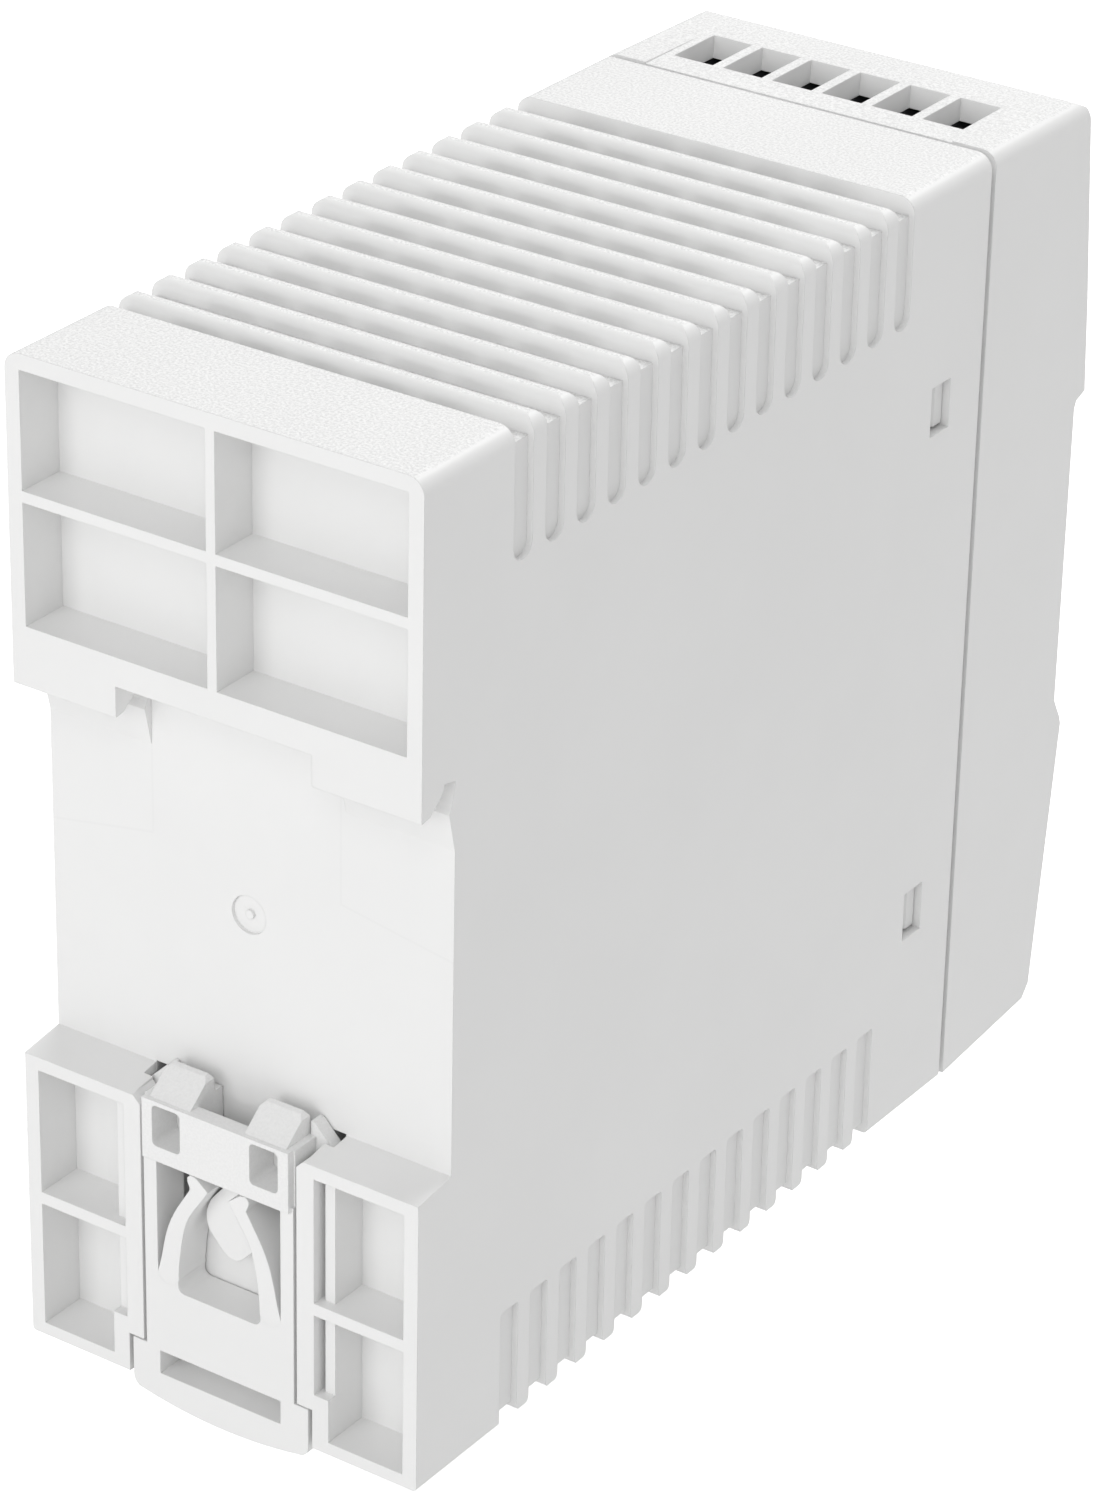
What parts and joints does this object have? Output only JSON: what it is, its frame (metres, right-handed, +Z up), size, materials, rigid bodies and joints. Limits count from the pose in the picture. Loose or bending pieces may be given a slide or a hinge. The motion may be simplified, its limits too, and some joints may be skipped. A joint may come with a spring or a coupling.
{
  "type": "din rail power supply",
  "caption": "Plug-on switching power supply for a 35 mm top-hat rail: vented light grey case, screw terminals above and below, sliding foot latch with sprung arms.",
  "frame": {"origin": "on the rail seat plane, at mid width, on the centre line of the 35 mm rail", "axes": "+Y points out of the back towards the rail, -Y is the front with the terminals, +Z is up, +X is to the right seen from the front"},
  "size_m": [0.04, 0.1005, 0.092],
  "materials": {
    "case_plastic": "light grey-white moulded polycarbonate, fine spark-eroded grain on the ends, satin sides",
    "terminal_plastic": "black moulded insulating plastic",
    "tinned_copper": "tin-plated copper strip",
    "zinc_plated_steel": "zinc-plated steel, turned and pressed",
    "board_laminate": "green solder mask over glass laminate",
    "trimmer_case": "blue moulded plastic",
    "trimmer_knob": "off-white moulded plastic",
    "lamp_green": "tinted green epoxy",
    "clear_plastic": "clear moulded light pipe",
    "black_plastic": "black epoxy moulding compound",
    "insulation_film": "pressed insulating sheet",
    "fuse_sleeve": "ceramic tube with plated end caps",
    "dark_coating": "dark dipped coating",
    "blue_coating": "blue dipped epoxy coating",
    "yellow_case": "yellow moulded box",
    "ferrite": "sintered ferrite, ground faces",
    "enamelled_copper": "enamelled copper wire",
    "winding_tape": "yellow polyester tape over the winding",
    "bobbin_plastic": "black moulded bobbin",
    "capacitor_sleeve": "dark heat-shrunk sleeve",
    "sheet_aluminium": "rolled aluminium sheet",
    "relay_case": "black moulded relay case"
  },
  "bodies": {
    "case": {"housing": "case_plastic", "front_cap": "case_plastic", "output_block": "terminal_plastic", "output_contacts": "tinned_copper", "input_block": "terminal_plastic", "input_contacts": "tinned_copper", "front_board": "board_laminate", "trimmer_body": "trimmer_case", "status_led": "lamp_green", "light_pipe": "clear_plastic", "main_board": "board_laminate", "board_headers": "black_plastic", "insulation_sheet": "insulation_film", "fuse": "fuse_sleeve", "inrush_thermistor": "dark_coating", "varistor": "blue_coating", "x_capacitor": "yellow_case", "y_capacitors": "blue_coating", "filter_choke_core": "ferrite", "filter_choke_windings": "enamelled_copper", "bridge_rectifier": "black_plastic", "bulk_capacitor": "capacitor_sleeve", "primary_heatsink": "sheet_aluminium", "switching_transistor": "black_plastic", "output_heatsink": "sheet_aluminium", "output_rectifier": "black_plastic", "heatsink_screws": "zinc_plated_steel", "transformer_core": "ferrite", "transformer_bobbin": "bobbin_plastic", "transformer_winding": "winding_tape", "output_capacitors": "capacitor_sleeve", "output_choke_core": "ferrite", "output_choke_winding": "enamelled_copper", "signal_relay": "relay_case", "controller_ic": "black_plastic", "optocoupler": "black_plastic"},
    "latch": {"din_latch": "case_plastic"},
    "arm_left": {"latch_arm_left": "case_plastic"},
    "arm_right": {"latch_arm_right": "case_plastic"},
    "trimmer": {"trimmer_rotor": "trimmer_knob"},
    "output_screw_1": {"output_screw_1": "zinc_plated_steel"},
    "output_cage_1": {"output_cage_1": "zinc_plated_steel"},
    "output_screw_2": {"output_screw_2": "zinc_plated_steel"},
    "output_cage_2": {"output_cage_2": "zinc_plated_steel"},
    "output_screw_3": {"output_screw_3": "zinc_plated_steel"},
    "output_cage_3": {"output_cage_3": "zinc_plated_steel"},
    "output_screw_4": {"output_screw_4": "zinc_plated_steel"},
    "output_cage_4": {"output_cage_4": "zinc_plated_steel"},
    "output_screw_5": {"output_screw_5": "zinc_plated_steel"},
    "output_cage_5": {"output_cage_5": "zinc_plated_steel"},
    "output_screw_6": {"output_screw_6": "zinc_plated_steel"},
    "output_cage_6": {"output_cage_6": "zinc_plated_steel"},
    "input_screw_1": {"input_screw_1": "zinc_plated_steel"},
    "input_cage_1": {"input_cage_1": "zinc_plated_steel"},
    "input_screw_2": {"input_screw_2": "zinc_plated_steel"},
    "input_cage_2": {"input_cage_2": "zinc_plated_steel"},
    "input_screw_3": {"input_screw_3": "zinc_plated_steel"},
    "input_cage_3": {"input_cage_3": "zinc_plated_steel"}
  },
  "joints": [
    {"name": "latch_slide", "type": "slide", "parent": "case", "child": "latch", "axis": [0, 0, -1], "range_m": [0, 0.003], "stiffness_N_per_m": 200},
    {"name": "arm_left_bow", "type": "hinge", "parent": "latch", "child": "arm_left", "pos_m": [-0.00524, 0.0026, -0.0343], "axis": [0, 1, 0], "range_deg": [-12.6, 0]},
    {"name": "arm_right_bow", "type": "hinge", "parent": "latch", "child": "arm_right", "pos_m": [0.00524, 0.0026, -0.0343], "axis": [0, 1, 0], "range_deg": [0, 12.6]},
    {"name": "output_screw_1_turn", "type": "hinge", "parent": "case", "child": "output_screw_1", "pos_m": [-0.0127, -0.087, 0.0315], "axis": [0, 1, 0], "range_deg": [0, 1080]},
    {"name": "output_cage_1_rise", "type": "slide", "parent": "case", "child": "output_cage_1", "axis": [0, -1, 0], "range_m": [0, 0.0015]},
    {"name": "output_screw_2_turn", "type": "hinge", "parent": "case", "child": "output_screw_2", "pos_m": [-0.00762, -0.087, 0.0315], "axis": [0, 1, 0], "range_deg": [0, 1080]},
    {"name": "output_cage_2_rise", "type": "slide", "parent": "case", "child": "output_cage_2", "axis": [0, -1, 0], "range_m": [0, 0.0015]},
    {"name": "output_screw_3_turn", "type": "hinge", "parent": "case", "child": "output_screw_3", "pos_m": [-0.00254, -0.087, 0.0315], "axis": [0, 1, 0], "range_deg": [0, 1080]},
    {"name": "output_cage_3_rise", "type": "slide", "parent": "case", "child": "output_cage_3", "axis": [0, -1, 0], "range_m": [0, 0.0015]},
    {"name": "output_screw_4_turn", "type": "hinge", "parent": "case", "child": "output_screw_4", "pos_m": [0.00254, -0.087, 0.0315], "axis": [0, 1, 0], "range_deg": [0, 1080]},
    {"name": "output_cage_4_rise", "type": "slide", "parent": "case", "child": "output_cage_4", "axis": [0, -1, 0], "range_m": [0, 0.0015]},
    {"name": "output_screw_5_turn", "type": "hinge", "parent": "case", "child": "output_screw_5", "pos_m": [0.00762, -0.087, 0.0315], "axis": [0, 1, 0], "range_deg": [0, 1080]},
    {"name": "output_cage_5_rise", "type": "slide", "parent": "case", "child": "output_cage_5", "axis": [0, -1, 0], "range_m": [0, 0.0015]},
    {"name": "output_screw_6_turn", "type": "hinge", "parent": "case", "child": "output_screw_6", "pos_m": [0.0127, -0.087, 0.0315], "axis": [0, 1, 0], "range_deg": [0, 1080]},
    {"name": "output_cage_6_rise", "type": "slide", "parent": "case", "child": "output_cage_6", "axis": [0, -1, 0], "range_m": [0, 0.0015]},
    {"name": "input_screw_1_turn", "type": "hinge", "parent": "case", "child": "input_screw_1", "pos_m": [-0.00762, -0.087, -0.0327], "axis": [0, 1, 0], "range_deg": [0, 1080]},
    {"name": "input_cage_1_rise", "type": "slide", "parent": "case", "child": "input_cage_1", "axis": [0, -1, 0], "range_m": [0, 0.0015]},
    {"name": "input_screw_2_turn", "type": "hinge", "parent": "case", "child": "input_screw_2", "pos_m": [0, -0.087, -0.0327], "axis": [0, 1, 0], "range_deg": [0, 1080]},
    {"name": "input_cage_2_rise", "type": "slide", "parent": "case", "child": "input_cage_2", "axis": [0, -1, 0], "range_m": [0, 0.0015]},
    {"name": "input_screw_3_turn", "type": "hinge", "parent": "case", "child": "input_screw_3", "pos_m": [0.00762, -0.087, -0.0327], "axis": [0, 1, 0], "range_deg": [0, 1080]},
    {"name": "input_cage_3_rise", "type": "slide", "parent": "case", "child": "input_cage_3", "axis": [0, -1, 0], "range_m": [0, 0.0015]},
    {"name": "trimmer_turn", "type": "hinge", "parent": "case", "child": "trimmer", "pos_m": [-0.009, -0.087, 0.009], "axis": [0, 1, 0], "range_deg": [-135, 135]}
  ],
  "couplings": [
    {"joint": "arm_left_bow", "follows": "latch_slide", "rad_per_m": -72.14},
    {"joint": "arm_right_bow", "follows": "latch_slide", "rad_per_m": 72.14},
    {"joint": "output_screw_1_turn", "follows": "output_cage_1_rise", "rad_per_m": 12566},
    {"joint": "output_screw_2_turn", "follows": "output_cage_2_rise", "rad_per_m": 12566},
    {"joint": "output_screw_3_turn", "follows": "output_cage_3_rise", "rad_per_m": 12566},
    {"joint": "output_screw_4_turn", "follows": "output_cage_4_rise", "rad_per_m": 12566},
    {"joint": "output_screw_5_turn", "follows": "output_cage_5_rise", "rad_per_m": 12566},
    {"joint": "output_screw_6_turn", "follows": "output_cage_6_rise", "rad_per_m": 12566},
    {"joint": "input_screw_1_turn", "follows": "input_cage_1_rise", "rad_per_m": 12566},
    {"joint": "input_screw_2_turn", "follows": "input_cage_2_rise", "rad_per_m": 12566},
    {"joint": "input_screw_3_turn", "follows": "input_cage_3_rise", "rad_per_m": 12566}
  ]
}
